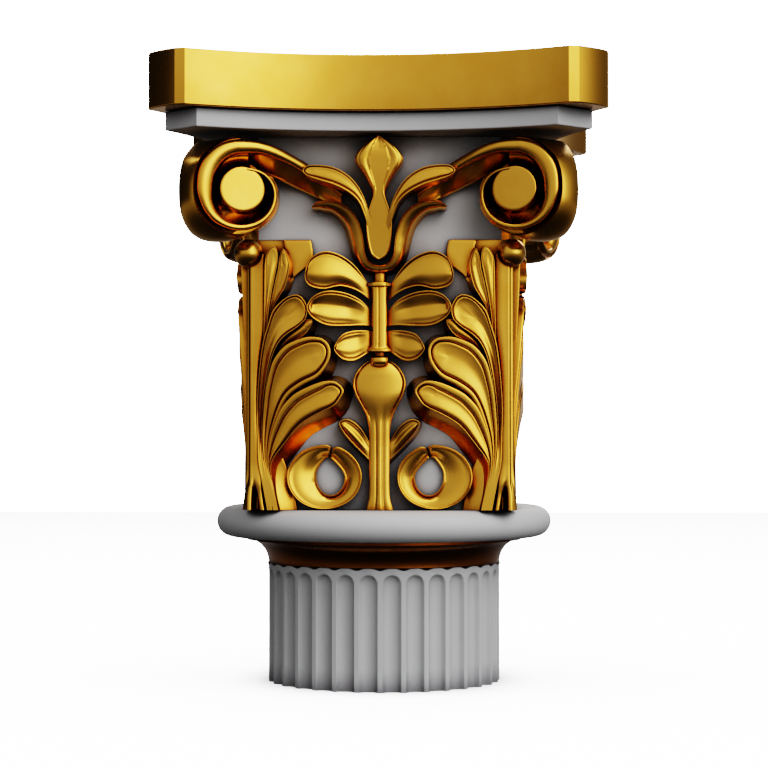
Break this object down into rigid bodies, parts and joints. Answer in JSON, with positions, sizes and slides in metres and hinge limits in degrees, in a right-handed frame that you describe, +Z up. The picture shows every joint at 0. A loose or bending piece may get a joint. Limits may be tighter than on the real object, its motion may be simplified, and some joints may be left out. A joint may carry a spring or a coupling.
{
  "type": "column capital",
  "caption": "Column capital with corner volutes, acanthus corner leaves and leaf ornament on each face, under a hollow-sided abacus and over a ring and a fluted shaft end.",
  "frame": {"origin": "centre of the flat underside of the shaft end, on the column's axis", "axes": "+Z up along the column's axis, -Y out of the front face, +X to the front face's right"},
  "size_m": [0.4334, 0.4334, 0.6085],
  "materials": {
    "grey_stone": "matte grey painted plaster",
    "satin_gold": "satin gilt"
  },
  "bodies": {
    "root": {"fluted_shaft": "grey_stone", "necking_cove": "satin_gold", "astragal_ring": "grey_stone", "bell": "grey_stone", "corner_leaf_front_right": "satin_gold", "corner_leaf_back_right": "satin_gold", "corner_leaf_back_left": "satin_gold", "corner_leaf_front_left": "satin_gold", "face_ornament_front": "satin_gold", "face_ornament_right": "satin_gold", "face_ornament_back": "satin_gold", "face_ornament_left": "satin_gold", "corner_volute_front_right": "satin_gold", "corner_volute_back_right": "satin_gold", "corner_volute_back_left": "satin_gold", "corner_volute_front_left": "satin_gold", "abacus_bed": "grey_stone", "abacus_slab": "satin_gold"}
  },
  "joints": []
}
